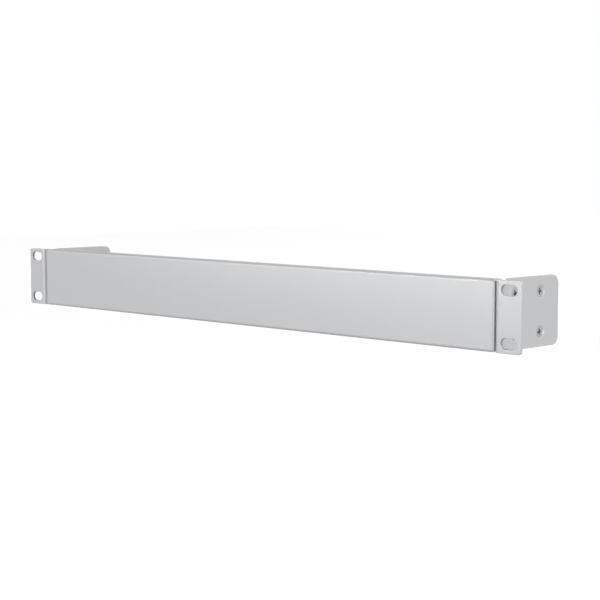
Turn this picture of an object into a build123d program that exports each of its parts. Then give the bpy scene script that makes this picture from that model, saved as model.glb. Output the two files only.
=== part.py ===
# Rack blanking panel, one unit high, for a 19-inch rack.
# One folded sheet makes the front, its top and bottom flanges and two side wings.
# An L-shaped ear bracket is screwed to each wing: four countersunk screws pass through
# the bracket into self-clinching nuts pressed into the wing from inside.
#
# Frame: millimetres, X along the panel, Y from the front to the rear, Z up.
# The origin is the centre of the four rack slots, on the rear face of the ears,
# which is the plane that lies against the rack's rails.

import os

from build123d import *

os.makedirs("parts", exist_ok=True)

# Rack standard
rack_width = 482.6  # over both ears
unit_height = 44.45  # one rack unit
unit_end_to_hole = 6.35  # from the unit's top or bottom to its nearest rack hole
unit_clearance = 0.85  # how much lower than the unit the panel is

# Front panel, one folded sheet
panel_sheet = 1.2
panel_bend = 0.4  # inside radius of the folds
panel_corner = 2.0  # outside radius of the closed corners between flange and wing
flange_depth = 9.2  # from the front face to the flange's rear edge
wing_depth = 64.0  # from the front face to the wing's rear edge
wing_corner = 5.5
corner_relief_length = 4.3
corner_relief_margin = 0.1  # how far the relief reaches past the closed corner's rounding

# Ear brackets, folded from thicker sheet
bracket_sheet = 2.0
bracket_bend = 1.6  # inside radius of the fold
bracket_gap = 0.1  # paint and air between bracket and wing
bracket_setback = 1.5  # from the wing's rear edge forwards to the bracket's
bracket_corner = 5.5
ear_width = 20.0  # from the bracket's inner face to the ear's outer edge
ear_corner = 2.2
ear_edge_to_slot = 8.75  # to the slot's centre
slot_length = 12.0
slot_height = 6.8
bend_relief_length = 8.0
bend_relief_depth = 1.6

# Screw pattern in each side, centred on the panel's height
screw_spacing_y = 25.0
screw_spacing_z = 25.0
screw_first_y = 18.7  # from the front face to the front pair

# M4 countersunk screws
thread_radius = 2.0
head_radius = 3.65
head_recess = 0.4  # how far the head lies below the bracket's surface
seat_gap = 0.05
screw_length = 6.0  # head included
recess_arm_length = 4.0
recess_arm_width = 0.9
recess_depth = 1.5

# Hexagonal self-clinching nuts, each with a round collar in the wing's hole
nut_across_flats = 7.0
nut_height = 2.4
collar_radius = 2.9
collar_length = 1.0
clinch_gap = 0.02
thread_gap = 0.05

# Planes and places that follow from the sizes above
face_y = -bracket_sheet
face_rear = face_y + panel_sheet
ear_x = rack_width / 2
bracket_x = ear_x - ear_width
side_x = bracket_x + bracket_sheet
wing_x = bracket_x - bracket_gap
panel_width = 2 * wing_x
flange_rear = face_y + flange_depth
wing_rear = face_y + wing_depth
bracket_rear = wing_rear - bracket_setback
slot_spacing_x = rack_width - 2 * ear_edge_to_slot
slot_spacing_z = unit_height - 2 * unit_end_to_hole
panel_height = unit_height - unit_clearance
half_height = panel_height / 2
screw_middle_y = face_y + screw_first_y + screw_spacing_y / 2
front_plane = Plane.XZ.offset(-face_y)
countersink_radius = head_radius + head_recess + seat_gap
head_height = head_radius - thread_radius
outer_bend = panel_bend + panel_sheet
relief_rear = flange_rear + corner_relief_length
relief_depth = panel_corner + corner_relief_margin

sides = {"left": -1, "right": 1}
rows = {"front": -1, "rear": 1}
levels = {"bottom": -1, "top": 1}


def side_plane(side, x):
    """A plane across the panel at x, with its own x towards the rear and its normal outwards."""
    return Plane(origin=(side * x, 0, 0), x_dir=(0, 1, 0), z_dir=(side, 0, 0))


def screw_axes():
    """Name, side and place of every screw, one for each corner of the pattern on each side."""
    for side_name, side in sides.items():
        for row_name, row in rows.items():
            for level_name, level in levels.items():
                y = screw_middle_y + row * screw_spacing_y / 2
                z = level * screw_spacing_z / 2
                yield side_name, f"{row_name}_{level_name}", side, y, z


# Front panel: a shallow tray with closed corners, then a wing on each side
with BuildPart() as front_panel:
    with BuildSketch(front_plane):
        RectangleRounded(panel_width, panel_height, panel_corner)
    extrude(amount=-flange_depth)
    fillet(front_panel.edges().group_by(Axis.Y)[0], radius=outer_bend)

    with BuildSketch(Plane.XZ.offset(-face_rear)):
        Rectangle(panel_width - 2 * panel_sheet, panel_height - 2 * panel_sheet)
    extrude(amount=face_rear - flange_rear, mode=Mode.SUBTRACT)
    fillet(front_panel.edges(Select.LAST).group_by(Axis.Y)[0], radius=panel_bend)

    # Each wing keeps its full height behind the relief and is a tongue in front of it
    tongue_front = face_y + outer_bend
    for side in sides.values():
        with BuildSketch(side_plane(side, wing_x)) as wing:
            with Locations(((tongue_front + wing_rear) / 2, 0)):
                Rectangle(wing_rear - tongue_front, panel_height - 2 * relief_depth)
            with Locations(((relief_rear + wing_rear) / 2, 0)):
                Rectangle(wing_rear - relief_rear, panel_height)
            fillet(wing.vertices().group_by(Axis.X)[-1], radius=wing_corner)
            with Locations((screw_middle_y, 0)):
                with GridLocations(screw_spacing_y, screw_spacing_z, 2, 2):
                    Circle(collar_radius + clinch_gap, mode=Mode.SUBTRACT)
        extrude(amount=-panel_sheet)

front_panel.part.label = "front_panel"
export_step(front_panel.part, "parts/front_panel.step")

# Right bracket: an L folded from one strip, with the ear across and the side plate behind
with BuildPart() as right_bracket:
    with BuildSketch(Plane.XY.offset(-half_height)) as strip:
        with BuildLine():
            Polyline(
                (bracket_x, face_y),
                (ear_x, face_y),
                (ear_x, 0),
                (side_x, 0),
                (side_x, bracket_rear),
                (bracket_x, bracket_rear),
                close=True,
            )
        make_face()
        outside_corner = strip.vertices().sort_by_distance((bracket_x, face_y, 0))[0]
        fillet(outside_corner, radius=bracket_bend + bracket_sheet)
        inside_corner = strip.vertices().sort_by_distance((side_x, 0, 0))[0]
        fillet(inside_corner, radius=bracket_bend)
    extrude(amount=panel_height)

    fillet(right_bracket.edges().filter_by(Axis.Y).group_by(Axis.X)[-1], radius=ear_corner)
    fillet(right_bracket.edges().filter_by(Axis.X).group_by(Axis.Y)[-1], radius=bracket_corner)

    with BuildSketch(front_plane):
        with GridLocations(slot_spacing_x, slot_spacing_z, 2, 2):
            SlotOverall(slot_length, slot_height)
    extrude(amount=-bracket_sheet, mode=Mode.SUBTRACT)

    # Bend reliefs free the fold from the plate's top and bottom edges
    relief_front = bracket_bend
    with BuildSketch(side_plane(1, side_x)):
        with Locations((relief_front + bend_relief_length / 2, 0)):
            with GridLocations(0, panel_height - bend_relief_depth, 1, 2):
                Rectangle(bend_relief_length, bend_relief_depth)
    extrude(amount=-bracket_sheet, mode=Mode.SUBTRACT)

    with Locations(side_plane(1, side_x)):
        with Locations((screw_middle_y, 0)):
            with GridLocations(screw_spacing_y, screw_spacing_z, 2, 2):
                CounterSinkHole(
                    radius=thread_radius + thread_gap,
                    counter_sink_radius=countersink_radius,
                    depth=bracket_sheet,
                    counter_sink_angle=90,
                )

right_bracket.part.label = "right_bracket"
export_step(right_bracket.part, "parts/right_bracket.step")

with BuildPart() as left_bracket:
    mirror(right_bracket.part, about=Plane.YZ)

left_bracket.part.label = "left_bracket"
export_step(left_bracket.part, "parts/left_bracket.step")

# Screws: a turned profile for head and shank, then the cross recess
for side_name, place, side, y, z in screw_axes():
    head_top = Vector(side * (side_x - head_recess), y, z)
    with BuildPart() as screw:
        with BuildSketch(Plane(origin=head_top, x_dir=(0, 1, 0), z_dir=(0, 0, -side))):
            with BuildLine():
                Polyline(
                    (0, 0),
                    (head_radius, 0),
                    (thread_radius, -head_height),
                    (thread_radius, -screw_length),
                    (0, -screw_length),
                    close=True,
                )
            make_face()
        revolve(axis=Axis(head_top, (side, 0, 0)))
        with BuildSketch(Plane(origin=head_top, x_dir=(0, 1, 0), z_dir=(-side, 0, 0))):
            Rectangle(recess_arm_length, recess_arm_width)
            Rectangle(recess_arm_width, recess_arm_length)
        extrude(amount=recess_depth, mode=Mode.SUBTRACT)
    node = f"{side_name}_screw_{place}"
    screw.part.label = node
    export_step(screw.part, f"parts/{node}.step")

# Nuts: a hexagon on the wing's inner face, its collar pressed into the sheet, bored through
for side_name, place, side, y, z in screw_axes():
    seat = Plane(origin=(side * (wing_x - panel_sheet), y, z), x_dir=(0, 1, 0), z_dir=(-side, 0, 0))
    with BuildPart() as nut:
        with BuildSketch(seat):
            RegularPolygon(nut_across_flats / 2, 6, major_radius=False)
        extrude(amount=nut_height)
        with BuildSketch(seat):
            Circle(collar_radius)
        extrude(amount=-collar_length)
        with Locations(seat):
            Hole(thread_radius + thread_gap)
    node = f"{side_name}_nut_{place}"
    nut.part.label = node
    export_step(nut.part, f"parts/{node}.step")
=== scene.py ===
import math

import bmesh
import bpy
from mathutils import Matrix, Vector, geometry


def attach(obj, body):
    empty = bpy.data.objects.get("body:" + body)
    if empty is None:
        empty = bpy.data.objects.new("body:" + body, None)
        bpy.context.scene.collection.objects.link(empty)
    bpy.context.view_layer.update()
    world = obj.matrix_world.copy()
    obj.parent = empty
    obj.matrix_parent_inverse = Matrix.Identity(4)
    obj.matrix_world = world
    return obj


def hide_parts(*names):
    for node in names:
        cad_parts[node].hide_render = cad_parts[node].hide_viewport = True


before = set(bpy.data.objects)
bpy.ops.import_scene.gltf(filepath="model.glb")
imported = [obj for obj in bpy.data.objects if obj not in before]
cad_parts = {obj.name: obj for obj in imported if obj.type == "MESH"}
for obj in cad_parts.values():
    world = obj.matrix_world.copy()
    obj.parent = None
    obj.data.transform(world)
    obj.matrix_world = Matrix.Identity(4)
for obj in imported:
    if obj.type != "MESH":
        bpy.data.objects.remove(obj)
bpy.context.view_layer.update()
mm = 0.001
quarterTurn = math.pi / 2
sides = {"left": -1, "right": 1}
rows = ("front", "rear")
levels = ("bottom", "top")
samePlace = 1e-5  # millimetres; points closer than this count as one
print("frame loaded:", len(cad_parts), "nodes")


# outlines are in millimetres and walked anticlockwise
# corners are (x, y, radius); each arc gets the same number of steps
def roundOff(corners, arcSteps=8):
    points = []
    for i, (x, y, radius) in enumerate(corners):
        here = Vector((x, y))
        back = (Vector(corners[i - 1][:2]) - here).normalized()
        ahead = (Vector(corners[(i + 1) % len(corners)][:2]) - here).normalized()
        if radius == 0:
            points.append(here)
            continue
        half = back.angle(ahead) / 2
        centre = here + (back + ahead).normalized() * (radius / math.sin(half))
        first = here + back * (radius / math.tan(half)) - centre
        last = here + ahead * (radius / math.tan(half)) - centre
        start = math.atan2(first.y, first.x)
        sweep = (math.atan2(last.y, last.x) - start + math.pi) % (2 * math.pi) - math.pi
        for step in range(arcSteps + 1):
            angle = start + sweep * step / arcSteps
            points.append(centre + Vector((math.cos(angle), math.sin(angle))) * radius)
    return [p for i, p in enumerate(points) if (p - points[i - 1]).length > samePlace]


def circle(x, y, radius, steps=40):
    turns = [2 * math.pi * k / steps for k in range(steps)]
    return [Vector((x + radius * math.cos(a), y + radius * math.sin(a))) for a in turns]


def rectangle(width, height, radius, x=0, y=0, arcSteps=8):
    w, h = width / 2, height / 2
    return roundOff([(x - w, y - h, radius), (x + w, y - h, radius),
                     (x + w, y + h, radius), (x - w, y + h, radius)], arcSteps)


# moves an outline to its left, which is inwards; a negative amount grows it
# mitreLimit keeps a sharp corner from running far out
def inset(points, amount, mitreLimit=0.4):
    moved = []
    for i, here in enumerate(points):
        before = (here - points[i - 1]).normalized()
        after = (points[(i + 1) % len(points)] - here).normalized()
        left = Vector((-before.y, before.x))
        mitre = (left + Vector((-after.y, after.x))).normalized()
        moved.append(here + mitre * (amount / max(mitre.dot(left), mitreLimit)))
    return moved


# how a cut edge runs through the sheet, as (distance into the metal, depth) pairs
# hold is a flat strip behind the rounding
def brokenEdge(thickness, radius, hold=0.35):
    soft = radius * (1 - math.sqrt(0.5))
    front = [(radius + hold, 0), (radius, 0), (soft, soft), (0, radius)]
    return front + [(into, thickness - depth) for into, depth in reversed(front)]


def strip(bm, ringA, ringB):
    count = len(ringA)
    for i in range(count):
        j = (i + 1) % count
        bm.faces.new((ringA[i], ringA[j], ringB[j], ringB[i]))


# fills the flat area inside the first ring and outside the others
def fillBetween(bm, rings):
    verts = [v for ring in rings for v in ring]
    flat = [[Vector((v.co.x, v.co.y, 0)) for v in ring] for ring in rings]
    for triangle in geometry.tessellate_polygon(flat):
        bm.faces.new([verts[i] for i in triangle])


# a flat plate: outlines is a list of (points, side, edge), side 1 for the outside and -1 for a hole
def makePlate(outlines):
    bm = bmesh.new()
    starts, ends = [], []
    for points, side, edge in outlines:
        rings = [[bm.verts.new((p.x, p.y, depth)) for p in inset(points, side * into)]
                 for into, depth in edge]
        for ringA, ringB in zip(rings, rings[1:]):
            strip(bm, ringA, ringB)
        starts.append(rings[0])
        ends.append(rings[-1])
    fillBetween(bm, starts)
    fillBetween(bm, ends)
    return bm


# a stack of rings in space, with the first and last closed when asked
def makeLoft(rings, closeFirst=True, closeLast=True):
    bm = bmesh.new()
    made = [[bm.verts.new(p) for p in ring] for ring in rings]
    for ringA, ringB in zip(made, made[1:]):
        strip(bm, ringA, ringB)
    if closeFirst:
        bm.faces.new(made[0])
    if closeLast:
        bm.faces.new(made[-1])
    return bm


# bm is in millimetres; the object is in metres
def finishMesh(bm, name, sharpAngle=50):
    bmesh.ops.remove_doubles(bm, verts=bm.verts, dist=samePlace)
    bmesh.ops.scale(bm, vec=(mm, mm, mm), verts=bm.verts)
    bmesh.ops.recalc_face_normals(bm, faces=bm.faces)
    mesh = bpy.data.meshes.new(name)
    bm.to_mesh(mesh)
    bm.free()
    mesh.shade_smooth()
    mesh.set_sharp_from_angle(angle=math.radians(sharpAngle))
    piece = bpy.data.objects.new(name, mesh)
    bpy.context.collection.objects.link(piece)
    return piece


def declare(piece, slot, material, *nodes):
    piece.data.materials.clear()
    piece.data.materials.append(material)
    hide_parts(*nodes)
    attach(piece, "root")


# one value in a node tree: sums and products of it add Math nodes
class Value:
    def __init__(self, tree, socket=None):
        self.tree = tree
        self.socket = socket

    # adds a node of any type: settings go in first, then numbers or links to its sockets
    def node(self, kind, settings=None, out=0, **inputs):
        made = self.tree.nodes.new(kind)
        for key, setting in (settings or {}).items():
            if key == "stops":
                while len(made.color_ramp.elements) < len(setting):
                    made.color_ramp.elements.new(1)
                for stop, (place, colour) in zip(made.color_ramp.elements, setting):
                    stop.position, stop.color = place, colour
            else:
                setattr(made, key, setting)
        for key, given in inputs.items():
            numbered = key[0] == "i" and key[1:].isdigit()
            socket = made.inputs[int(key[1:]) if numbered else key.replace("_", " ")]
            if isinstance(given, Value):
                self.tree.links.new(given.socket, socket)
            else:
                socket.default_value = given
        return Value(self.tree, made.outputs[out])

    def maths(self, operation, first, second):
        return self.node("ShaderNodeMath", {"operation": operation}, i0=first, i1=second)

    def __add__(self, other):
        return self.maths("ADD", self, other)

    def __sub__(self, other):
        return self.maths("SUBTRACT", self, other)

    def __mul__(self, other):
        return self.maths("MULTIPLY", self, other)

    def __rsub__(self, other):
        return self.maths("SUBTRACT", other, self)

    __radd__ = __add__
    __rmul__ = __mul__

    # 1 where the value lies between the two limits
    def between(self, low, high):
        return self.maths("GREATER_THAN", self, low) * self.maths("LESS_THAN", self, high)

    # fades from the first colour at 0 to the second at 1
    def mixed(self, colourA, colourB):
        return self.node("ShaderNodeMix", {"data_type": "RGBA"}, out=2, i0=self, i6=colourA, i7=colourB)


def newMaterial(name):
    material = bpy.data.materials.new(name)
    material.use_nodes = True
    material.node_tree.nodes.clear()
    return material, Value(material.node_tree)


def useSurface(tree, shader, kind="ShaderNodeOutputMaterial"):
    tree.links.new(shader.socket, tree.nodes.new(kind).inputs["Surface"])


def grey(level, tint=(1, 1, 1)):
    return (*(level * part for part in tint), 1)


middle = 0.5  # noise and colour channels run from 0 to 1 about this

silverPaint = {
    "tint": (0.990, 1.0, 1.021),
    "tone": 0.600,  # how light the paint is
    "toneSpread": 0.012,  # cloudiness of the sprayed coat
    "cloudSize": 9 * mm,
    "cloudDetail": 3.0,
    "flakeSize": 0.16 * mm,
    "flakeSpread": 0.035,
    "roughness": 0.46,
    "roughnessSpread": 0.05,
    "metallic": 0.35,
    "peelSize": 0.9 * mm,  # orange peel
    "peelDetail": 1.0,
    "peelHeight": 0.006 * mm,
    "grainHeight": 0.0025 * mm,
}

# painted shade: the walls of the rack slots are darkened in colour, where shade falls, between these
# limits
paintedSlotShade = {
    "share": 0.6,  # of the lightness of the faces
    "front": -1.85 * mm,  # in Y, just inside the ear's two faces
    "rear": -0.15 * mm,
    "inner": 226.0 * mm,  # in X from the middle, beyond both ends of a slot
    "outer": 239.5 * mm,
}


def paintedMetal(name, paint, walls=None):
    material, value = newMaterial(name)
    place = value.node("ShaderNodeTexCoord", out="Object")
    clouds = value.node("ShaderNodeTexNoise", Vector=place, Scale=1 / paint["cloudSize"],
                        Detail=paint["cloudDetail"])
    flakes = value.node("ShaderNodeTexVoronoi", {"feature": "F1"}, out="Color", Vector=place,
                        Scale=1 / paint["flakeSize"])
    sparkle = value.node("ShaderNodeSeparateColor", Color=flakes)
    peel = value.node("ShaderNodeTexNoise", Vector=place, Scale=1 / paint["peelSize"],
                      Detail=paint["peelDetail"])
    cloudShift = (clouds - middle) * (2 * paint["toneSpread"])
    shift = cloudShift + (sparkle - middle) * paint["flakeSpread"] + middle
    reach = 0.5  # the mix below runs this share of the tone either way
    light = grey(paint["tone"] * (1 + reach), paint["tint"])
    dark = grey(paint["tone"] * (1 - reach), paint["tint"])
    height = peel * paint["peelHeight"] + sparkle * paint["grainHeight"]
    bump = value.node("ShaderNodeBump", Strength=1.0, Distance=1.0, Height=height)
    colour = shift.mixed(dark, light)
    # painted shade: the colour of the slot walls is darkened here, standing in for shade
    if walls:
        y = value.node("ShaderNodeSeparateXYZ", out="Y", Vector=place)
        x = value.maths("ABSOLUTE", value.node("ShaderNodeSeparateXYZ", out="X", Vector=place), 0)
        inside = x.between(walls["inner"], walls["outer"]) * y.between(walls["front"], walls["rear"])
        colour = value.node("ShaderNodeMix", {"data_type": "RGBA", "blend_type": "MULTIPLY"}, out=2,
                            i0=inside, i6=colour, i7=grey(walls["share"]))
    shader = value.node(
        "ShaderNodeBsdfPrincipled",
        Base_Color=colour,
        Metallic=paint["metallic"],
        Roughness=(clouds - middle) * paint["roughnessSpread"] + paint["roughness"],
        Normal=bump,
    )
    useSurface(value.tree, shader)
    return material


zinc = {
    "tint": (0.985, 1.0, 1.015),
    "tone": 0.44,
    "toneSpread": 0.10,
    "blotchSize": 0.8 * mm,
    "blotchDetail": 4.0,
    "roughness": 0.30,
    "roughnessSpread": 0.16,
    "ringSpacing": 0.09 * mm,  # turning marks
    "ringHeight": 0.0012 * mm,
    "grainSize": 0.12 * mm,
    "grainDetail": 2.0,
    "grainHeight": 0.0015 * mm,
}

# painted shade: the cross recess is darkened in colour, where shade falls, in Z below its flat top
paintedRecessShade = {
    "tone": 0.16,
    "rim": -0.05 * mm,  # the darkening starts here
    "full": -0.5 * mm,  # and is complete here
    "floor": -2.3 * mm,  # none below this
    "reach": 2.35 * mm,  # nor farther than this from the axis
}


# every fastener's own Z is its axis, so the turning marks run round it
def zincPlate(name, plate, recess=None):
    material, value = newMaterial(name)
    place = value.node("ShaderNodeTexCoord", out="Object")
    across = value.node("ShaderNodeVectorMath", {"operation": "MULTIPLY"}, i0=place, i1=(1, 1, 0))
    radius = value.node("ShaderNodeVectorMath", {"operation": "LENGTH"}, out="Value", i0=across)
    phase = radius * (2 * math.pi / plate["ringSpacing"])
    rings = value.node("ShaderNodeMath", {"operation": "SINE"}, i0=phase)
    blotches = value.node("ShaderNodeTexNoise", Vector=place, Scale=1 / plate["blotchSize"],
                          Detail=plate["blotchDetail"])
    grain = value.node("ShaderNodeTexNoise", Vector=place, Scale=1 / plate["grainSize"],
                       Detail=plate["grainDetail"])
    relief = rings * plate["ringHeight"] + grain * plate["grainHeight"]
    bump = value.node("ShaderNodeBump", Strength=1.0, Distance=1.0, Height=relief)
    low = grey(plate["tone"] * (1 - plate["toneSpread"]), plate["tint"])
    high = grey(plate["tone"] * (1 + plate["toneSpread"]), plate["tint"])
    colour = blotches.mixed(low, high)
    # painted shade: the colour inside the cross recess is darkened, standing in for shade
    if recess:
        height = value.node("ShaderNodeSeparateXYZ", out="Z", Vector=place)
        depth = value.node("ShaderNodeMapRange", Value=height, From_Min=recess["rim"],
                           From_Max=recess["full"])
        inside = depth * value.maths("GREATER_THAN", height, recess["floor"])
        inside = inside * value.maths("LESS_THAN", radius, recess["reach"])
        colour = inside.mixed(colour, grey(recess["tone"]))
    shader = value.node(
        "ShaderNodeBsdfPrincipled",
        Base_Color=colour,
        Metallic=1.0,
        Roughness=(grain - middle) * plate["roughnessSpread"] + plate["roughness"],
        Normal=bump,
    )
    useSurface(value.tree, shader)
    return material


panelPaint = paintedMetal("panelPaint", silverPaint)
bracketPaint = paintedMetal("bracketPaint", silverPaint, paintedSlotShade)
screwZinc = zincPlate("screwZinc", zinc, paintedRecessShade)
nutZinc = zincPlate("nutZinc", zinc)
print("finishes made")


# front panel: a shallow tray with a wing folded back at each end
panel = {
    "width": 442.4,
    "height": 43.6,
    "sheet": 1.2,
    "faceY": -2.0,
    "insideBend": 0.4,
    "corner": 2.0,  # closed corner between flange and wing, outside
    "flangeRear": 7.2,
    "wingRear": 62.0,
    "wingCorner": 5.5,
    "reliefRear": 11.5,
    "reliefDepth": 2.1,
    "edge": 0.18,  # rounding of the cut edges under the paint
    "nutHole": 2.92,
    "bendSteps": 10,
    "insideSteps": 4,
    "cornerSteps": 12,
    "faceLand": 0.25,  # flat strips beside the folds
    "flangeLand": 0.3,
}
# where a screw stands on each side, as (Y, Z)
screwSpots = [(y, z) for y in (16.7, 41.7) for z in (-12.5, 12.5)]


def trayRings(p):
    outer = rectangle(p["width"], p["height"], p["corner"], arcSteps=p["bendSteps"])
    bend = p["insideBend"] + p["sheet"]
    back = p["faceY"] + p["sheet"]
    profile = [(bend + p["faceLand"], p["faceY"])]
    for step in range(p["bendSteps"] + 1):
        angle = quarterTurn * step / p["bendSteps"]
        profile.append((bend * (1 - math.sin(angle)), p["faceY"] + bend * (1 - math.cos(angle))))
    profile.append((0, p["faceY"] + bend + p["flangeLand"]))
    for depth, into in brokenEdge(p["sheet"], p["edge"], hold=0)[1:-1]:
        profile.append((into, p["flangeRear"] - depth))
    profile.append((p["sheet"], back + p["insideBend"] + p["flangeLand"]))
    for step in range(p["insideSteps"] + 1):
        angle = quarterTurn * step / p["insideSteps"]
        profile.append((p["sheet"] + p["insideBend"] * (1 - math.cos(angle)),
                        back + p["insideBend"] * (1 - math.sin(angle))))
    profile.append((p["sheet"] + p["insideBend"] + p["faceLand"], back))
    return [[(q.x, y, q.y) for q in inset(outer, into)] for into, y in profile]


def wingPlate(p, side):
    h = p["height"] / 2
    tongue = h - p["reliefDepth"]
    front = p["faceY"] + p["insideBend"] + p["sheet"]
    outline = roundOff([
        (front, -tongue, 0), (p["reliefRear"], -tongue, 0), (p["reliefRear"], -h, 0),
        (p["wingRear"], -h, p["wingCorner"]), (p["wingRear"], h, p["wingCorner"]),
        (p["reliefRear"], h, 0), (p["reliefRear"], tongue, 0), (front, tongue, 0),
    ], p["cornerSteps"])
    edge = brokenEdge(p["sheet"], p["edge"])
    holes = [(circle(y, z, p["nutHole"]), -1, edge) for y, z in screwSpots]
    bm = makePlate([(outline, 1, edge), *holes])
    for v in bm.verts:
        y, z, depth = v.co
        v.co = (side * (p["width"] / 2 - depth), y, z)
    return bm


def joined(piece, others):
    for other in others:
        union = piece.modifiers.new("union", "BOOLEAN")
        union.operation, union.solver, union.object = "UNION", "EXACT", other
    graph = bpy.context.evaluated_depsgraph_get()
    mesh = bpy.data.meshes.new_from_object(piece.evaluated_get(graph))
    piece.modifiers.clear()
    piece.data = mesh
    for other in others:
        bpy.data.objects.remove(other)
    return piece


frontPanel = finishMesh(makeLoft(trayRings(panel)), "panelSheet")
wings = [finishMesh(wingPlate(panel, side), "wing") for side in sides.values()]
joined(frontPanel, wings)
declare(frontPanel, "panel_paint", panelPaint, "front_panel")
print("front panel folded:", len(frontPanel.data.polygons), "faces")


# ear brackets: a flat blank with its holes, then the fold
bracket = {
    "sheet": 2.0,
    "innerX": 221.3,
    "earX": 241.3,
    "rearY": 60.5,
    "height": 43.6,
    "insideBend": 1.6,
    "bendSteps": 14,
    "plateCorner": 5.5,
    "earCorner": 2.2,
    "reliefLength": 8.0,
    "reliefDepth": 1.6,
    "slot": (12.0, 6.8),
    "slotSlack": 0.001,  # leaves a short straight between the two arcs of a slot's end
    "slotPlace": (232.55, 15.875),
    "screwHole": 2.1,
    "countersink": 4.1,
    "sunkRim": (0.06, 0.10),  # broken edge of the countersink, across and down
    "sunkRear": 0.08,  # rounding where the hole leaves the sheet
    "sunkLands": (0.35, 0.3),  # flat strips round the hole, outside and inside
    "edge": 0.18,
    "cornerSteps": 12,
    "foldLand": 0.4,  # flat strips beside the fold
}


def bracketBlank(b):
    h = b["height"] / 2
    foldStart = b["rearY"] - b["insideBend"]  # measured along the blank from the plate's rear edge
    foldLength = quarterTurn * (b["insideBend"] + b["sheet"] / 2)
    outerX = b["innerX"] + b["sheet"]
    earStart = outerX + b["insideBend"]
    alongEar = foldStart + foldLength - earStart  # add to an X on the ear
    earEnd = alongEar + b["earX"]
    relief = (foldStart - b["reliefLength"], h - b["reliefDepth"])
    outline = roundOff([
        (0, -h, b["plateCorner"]), (relief[0], -h, 0), (relief[0], -relief[1], 0),
        (foldStart, -relief[1], 0), (foldStart, -h, 0), (earEnd, -h, b["earCorner"]),
        (earEnd, h, b["earCorner"]), (foldStart, h, 0), (foldStart, relief[1], 0),
        (relief[0], relief[1], 0), (relief[0], h, 0), (0, h, b["plateCorner"]),
    ], b["cornerSteps"])
    edge = brokenEdge(b["sheet"], b["edge"])
    slopeEdge = b["countersink"] - b["screwHole"]
    across, down = b["sunkRim"]
    outsideLand, insideLand = b["sunkLands"]
    sunk = [(slopeEdge + outsideLand, 0), (slopeEdge + across, 0), (slopeEdge - across, down),
            (across, b["sheet"] - b["sunkRear"]), (b["sunkRear"], b["sheet"]), (insideLand, b["sheet"])]
    cuts = [(outline, 1, edge)]
    endRadius = b["slot"][1] / 2 - b["slotSlack"]
    for x, z in ((b["slotPlace"][0], s * b["slotPlace"][1]) for s in (-1, 1)):
        slot = rectangle(*b["slot"], endRadius, alongEar + x, z, b["cornerSteps"])
        cuts.append((slot, -1, edge))
    for y, z in screwSpots:
        cuts.append((circle(b["rearY"] - y, z, b["screwHole"]), -1, sunk))
    bm = makePlate(cuts)
    lines = [foldStart + foldLength * k / b["bendSteps"] for k in range(b["bendSteps"] + 1)]
    for line in [foldStart - b["foldLand"], *lines, foldStart + foldLength + b["foldLand"]]:
        bmesh.ops.bisect_plane(bm, geom=[*bm.verts, *bm.edges, *bm.faces], dist=samePlace,
                               plane_co=(line, 0, 0), plane_no=(1, 0, 0))
    return bm, foldStart, foldLength


def foldBracket(b, side):
    bm, foldStart, foldLength = bracketBlank(b)
    outerX = b["innerX"] + b["sheet"]
    centreX, centreY = outerX + b["insideBend"], b["insideBend"]
    for v in bm.verts:
        along, z, depth = v.co
        radius = b["insideBend"] + depth
        if along <= foldStart:
            x, y = outerX - depth, b["rearY"] - along
        elif along >= foldStart + foldLength:
            x, y = centreX + along - foldStart - foldLength, -depth
        else:
            angle = quarterTurn * (along - foldStart) / foldLength
            x, y = centreX - radius * math.cos(angle), centreY - radius * math.sin(angle)
        v.co = (side * x, y, z)
    return bm


for sideName, side in sides.items():
    piece = finishMesh(foldBracket(bracket, side), f"{sideName}EarBracket")
    declare(piece, "bracket_paint", bracketPaint, f"{sideName}_bracket")
print("ear brackets folded")


# countersunk screws
screw = {
    "steps": 48,
    "headRadius": 3.65,
    "headLand": 0.12,  # straight edge of the head
    "headStrip": 0.3,  # flat strip inside the head's edge
    "headRim": (0.07, 0.06),  # broken edge of the head, across and down
    "neckFillet": 0.1,
    "threadRadius": 2.0,
    "threadDepth": 0.38,
    "pitch": 0.7,
    "ringsPerPitch": 8,
    "grooveSharpness": 1.25,
    "length": 6.0,
    "tip": 0.4,
    "tipFillet": 0.1,
    "tipTaper": 0.25,
    "recessLength": 4.3,
    "recessWidth": 1.15,
    "recessFloor": 0.5,  # how much of its size the recess keeps at the floor
    "recessDepth": 1.7,
    "recessDip": 0.3,  # how much deeper the floor is in the middle
    "recessStages": (0.35, 0.7, 1.0),
    "recessStrip": 0.16,  # flat strip round the recess
    "recessRim": (0.04, 0.02, 0.08),  # broken edge: outside, inside, down
    "armRound": 0.28,  # of the recess's width
    "crotchRound": 0.30,
    "headTopX": 222.9,
    "turns": (8, -21, 37, 12, -6, 4, 5, -3),  # degrees, how each one came to rest
}


# the arms keep more of their width than of their length as the cross shrinks
def crossOutline(s, scale=1.0):
    length, width = s["recessLength"], s["recessWidth"]
    a, b = length / 2 * scale, width / 2 * (0.5 + scale / 2)
    outer, inner = width * s["armRound"] * scale, width * s["crotchRound"] * scale
    quarter = [(a, -b, outer), (a, b, outer), (b, b, inner)]
    corners = []
    for turn in range(4):
        cosine, sine = round(math.cos(turn * quarterTurn)), round(math.sin(turn * quarterTurn))
        corners += [(x * cosine - y * sine, x * sine + y * cosine, r) for x, y, r in quarter]
    return roundOff(corners, 4)


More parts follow.
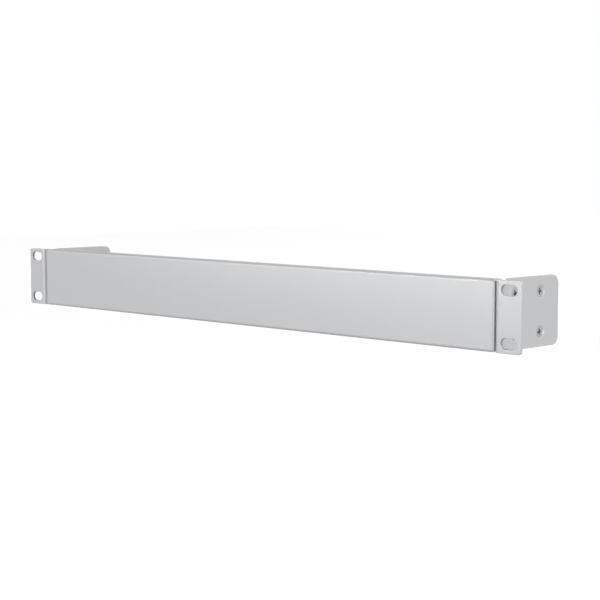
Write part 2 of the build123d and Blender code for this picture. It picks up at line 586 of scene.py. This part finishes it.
# local Z is the axis and points out of the head, whose flat top is at Z = 0
def makeScrew(s):
    bm = bmesh.new()

    def ring(points, z):
        return [bm.verts.new((p.x, p.y, z)) for p in points]

    def roundRing(radius, z):
        return ring(circle(0, 0, radius, s["steps"]), z)

    land = s["headLand"]
    neck = s["headRadius"] - s["threadRadius"]
    across, down = s["headRim"]
    fillet = s["neckFillet"]
    stack = [roundRing(s["headRadius"] - s["headStrip"], 0), roundRing(s["headRadius"] - across, 0),
             roundRing(s["headRadius"], -down), roundRing(s["headRadius"], -land),
             roundRing(s["threadRadius"] + fillet, -neck - land + fillet)]
    threadTop, threadEnd = -neck - land, -s["length"] + s["tip"]
    count = int((threadTop - threadEnd) / s["pitch"] * s["ringsPerPitch"])
    for k in range(count + 1):
        z = threadTop + (threadEnd - threadTop) * k / count
        points = []
        for i in range(s["steps"]):
            turn = i / s["steps"]
            phase = (z / s["pitch"] + turn) % 1
            groove = min(1, s["grooveSharpness"] * (1 - abs(2 * phase - 1)))
            angle = 2 * math.pi * turn
            radius = s["threadRadius"] - s["threadDepth"] * groove
            points.append(Vector((math.cos(angle), math.sin(angle))) * radius)
        stack.append(ring(points, z))
    coreRadius = s["threadRadius"] - s["threadDepth"]
    stack.append(roundRing(coreRadius, threadEnd - s["tipFillet"]))
    stack.append(roundRing(coreRadius - s["tipTaper"], -s["length"]))
    for ringA, ringB in zip(stack, stack[1:]):
        strip(bm, ringA, ringB)
    bm.faces.new(stack[-1])

    # cross recess: a broken rim, sloping walls and a floor that dips to the middle
    top = crossOutline(s)
    outside, inside, down = s["recessRim"]
    walls = [ring(inset(top, -s["recessStrip"]), 0), ring(inset(top, -outside), 0),
             ring(inset(top, inside), -down)]
    for share in s["recessStages"]:
        scale = 1 - (1 - s["recessFloor"]) * share
        walls.append(ring(crossOutline(s, scale), -s["recessDepth"] * share))
    for ringA, ringB in zip(walls, walls[1:]):
        strip(bm, ringA, ringB)
    lowest = bm.verts.new((0, 0, -s["recessDepth"] - s["recessDip"]))
    floor = walls[-1]
    for i in range(len(floor)):
        bm.faces.new((floor[i], floor[(i + 1) % len(floor)], lowest))
    fillBetween(bm, [stack[0], walls[0]])
    return bm


# puts a turned piece on its screw axis, its own Z pointing along X
def standOnAxis(piece, x, y, z, outwards, degrees=0):
    lay = Matrix.Rotation(outwards * quarterTurn, 4, "Y")
    spin = Matrix.Rotation(math.radians(degrees), 4, "Z")
    piece.matrix_world = Matrix.Translation(Vector((x, y, z)) * mm) @ lay @ spin


spots = [(sideName, side, f"{row}_{level}", y, z)
         for sideName, side in sides.items()
         for (row, level), (y, z) in zip([(r, l) for r in rows for l in levels], screwSpots)]
for (sideName, side, place, y, z), degrees in zip(spots, screw["turns"]):
    piece = finishMesh(makeScrew(screw), f"{sideName}Screw_{place}")
    standOnAxis(piece, side * screw["headTopX"], y, z, side, degrees)
    declare(piece, "screw_steel", screwZinc, f"{sideName}_screw_{place}")
print("screws turned:", len(spots))


# hexagonal clinch nuts
nut = {
    "steps": 72,
    "flats": 7.0,
    "height": 2.4,
    "bore": 2.05,
    "boreChamfer": 0.3,
    "topRadius": 3.25,  # where the corner chamfer starts
    "chamferSlope": 30,  # degrees
    "lands": (0.15, 0.12, 0.15),  # flat strips by the bore, by the chamfer and below it
    "footEdge": 0.1,
    "collarRadius": 2.9,
    "collarLength": 1.0,
    "seatX": 220.0,
}


# local Z points away from the wing, whose inner face is at Z = 0
def makeNut(n):
    corner = math.radians(60)
    rings = []

    def add(radiusAt, heightAt):
        ring = []
        for k in range(n["steps"]):
            angle = 2 * math.pi * k / n["steps"]
            hexRadius = n["flats"] / 2 / math.cos((angle + corner / 2) % corner - corner / 2)
            r = radiusAt(hexRadius)
            ring.append((r * math.cos(angle), r * math.sin(angle), heightAt(hexRadius)))
        rings.append(ring)

    slope = math.tan(math.radians(n["chamferSlope"]))
    boreLand, topLand, sideLand = n["lands"]
    bore, top, high = n["bore"], n["topRadius"], n["height"]
    add(lambda r: bore, lambda r: -n["collarLength"])
    add(lambda r: bore, lambda r: high - n["boreChamfer"])
    add(lambda r: bore + n["boreChamfer"], lambda r: high)
    add(lambda r: bore + n["boreChamfer"] + boreLand, lambda r: high)
    add(lambda r: top - topLand, lambda r: high)
    add(lambda r: top, lambda r: high)
    add(lambda r: r, lambda r: high - (r - top) * slope)
    add(lambda r: r, lambda r: high - (r - top) * slope - sideLand)
    add(lambda r: r, lambda r: n["footEdge"])
    add(lambda r: r - n["footEdge"], lambda r: 0.0)
    add(lambda r: n["collarRadius"], lambda r: 0.0)
    add(lambda r: n["collarRadius"], lambda r: -n["collarLength"])
    bm = makeLoft(rings, closeFirst=False, closeLast=False)
    # the two rings at the collar's end are joined by a flat face
    close = 1e-4
    loops = [[v for v in bm.verts if abs(v.co.z + n["collarLength"]) < close
              and abs(v.co.xy.length - radius) < close] for radius in (bore, n["collarRadius"])]
    strip(bm, loops[0], loops[1])
    return bm


for sideName, side, place, y, z in spots:
    piece = finishMesh(makeNut(nut), f"{sideName}Nut_{place}", sharpAngle=25)
    standOnAxis(piece, side * nut["seatX"], y, z, -side)
    declare(piece, "nut_steel", nutZinc, f"{sideName}_nut_{place}")
print("nuts set:", len(spots))


# floor, light and camera
stage = {
    "floorSize": 2.2,
    "floorAlbedo": 0.25,
    "floorGlow": 0.92,  # added for the camera and reflections alone
    "worldDiffuse": 0.1,  # what the world lights the part with
    "worldSeen": 1.0,  # white
}


# 1 for camera, glossy and transmission rays, which see the background white
def backgroundRays(value):
    seen = value.node("ShaderNodeLightPath", out="Is Camera Ray")
    for kind in ("Is Glossy Ray", "Is Transmission Ray"):
        seen = value.maths("MAXIMUM", seen, value.node("ShaderNodeLightPath", out=kind))
    return seen


floorMesh = bpy.data.meshes.new("floor")
half = stage["floorSize"] / 2
floorZ = -panel["height"] / 2 * mm
corners = [(x * half, y * half, floorZ) for x, y in ((-1, -1), (1, -1), (1, 1), (-1, 1))]
floorMesh.from_pydata(corners, [], [(0, 1, 2, 3)])
floor = bpy.data.objects.new("floor", floorMesh)
bpy.context.collection.objects.link(floor)
floorMaterial, value = newMaterial("paleFloor")
seen = backgroundRays(value)
glow = value.node("ShaderNodeEmission", Color=grey(1), Strength=seen * stage["floorGlow"])
matt = value.node("ShaderNodeBsdfDiffuse", Color=grey(stage["floorAlbedo"]))
useSurface(value.tree, value.node("ShaderNodeAddShader", i0=matt, i1=glow))
floorMesh.materials.append(floorMaterial)

world = bpy.data.worlds.new("studio")
bpy.context.scene.world = world
world.use_nodes = True
world.node_tree.nodes.clear()
value = Value(world.node_tree)
seen = backgroundRays(value)
strength = seen * (stage["worldSeen"] - stage["worldDiffuse"]) + stage["worldDiffuse"]
background = value.node("ShaderNodeBackground", Color=grey(1), Strength=strength)
useSurface(value.tree, background, "ShaderNodeOutputWorld")

softboxes = {
    # name: place, aimed at, width, height, spread in degrees, watts
    "front": ((-1.8, -3.7, 0.7), (0, 0, 0), 2.8, 1.2, 180, 60),
    "left": ((-1.6, -1.4, 0.7), (-0.1, 0, 0), 1.4, 1.0, 180, 3.0),
    "right": ((1.8, -0.3, 0.22), (0.22, 0.03, 0), 0.8, 0.4, 180, 16.8),
    "back": ((0.5, 1.6, 0.9), (0.1, 0, 0), 1.4, 0.8, 180, 8.5),
    "strip": ((0.12, -1.3, 0.5), (0.34, 0, 0.33), 0.9, 0.03, 30, 2.2),
}
for name, (place, target, width, height, spread, watts) in softboxes.items():
    lamp = bpy.data.lights.new(name, "AREA")
    lamp.shape, lamp.size, lamp.size_y, lamp.energy = "RECTANGLE", width, height, watts
    lamp.spread = math.radians(spread)
    box = bpy.data.objects.new(name, lamp)
    bpy.context.collection.objects.link(box)
    box.location = place
    box.rotation_euler = (Vector(target) - Vector(place)).to_track_quat("-Z", "Y").to_euler()

camera = {
    "place": (0.7952, -0.7477, 0.0940),
    "turn": (84.84, 0.0, 44.59),
    "lens": 94.95,
    "sensor": 36,
    "clip": (0.01, 100),
}
eye = bpy.data.cameras.new("camera")
eye.lens, eye.sensor_width = camera["lens"], camera["sensor"]
eye.clip_start, eye.clip_end = camera["clip"]
cameraObject = bpy.data.objects.new("camera", eye)
bpy.context.collection.objects.link(cameraObject)
cameraObject.location = camera["place"]
cameraObject.rotation_euler = [math.radians(a) for a in camera["turn"]]
bpy.context.scene.camera = cameraObject
bpy.context.scene.view_settings.view_transform = "Standard"
print("stage set")

bpy.context.view_layer.update()
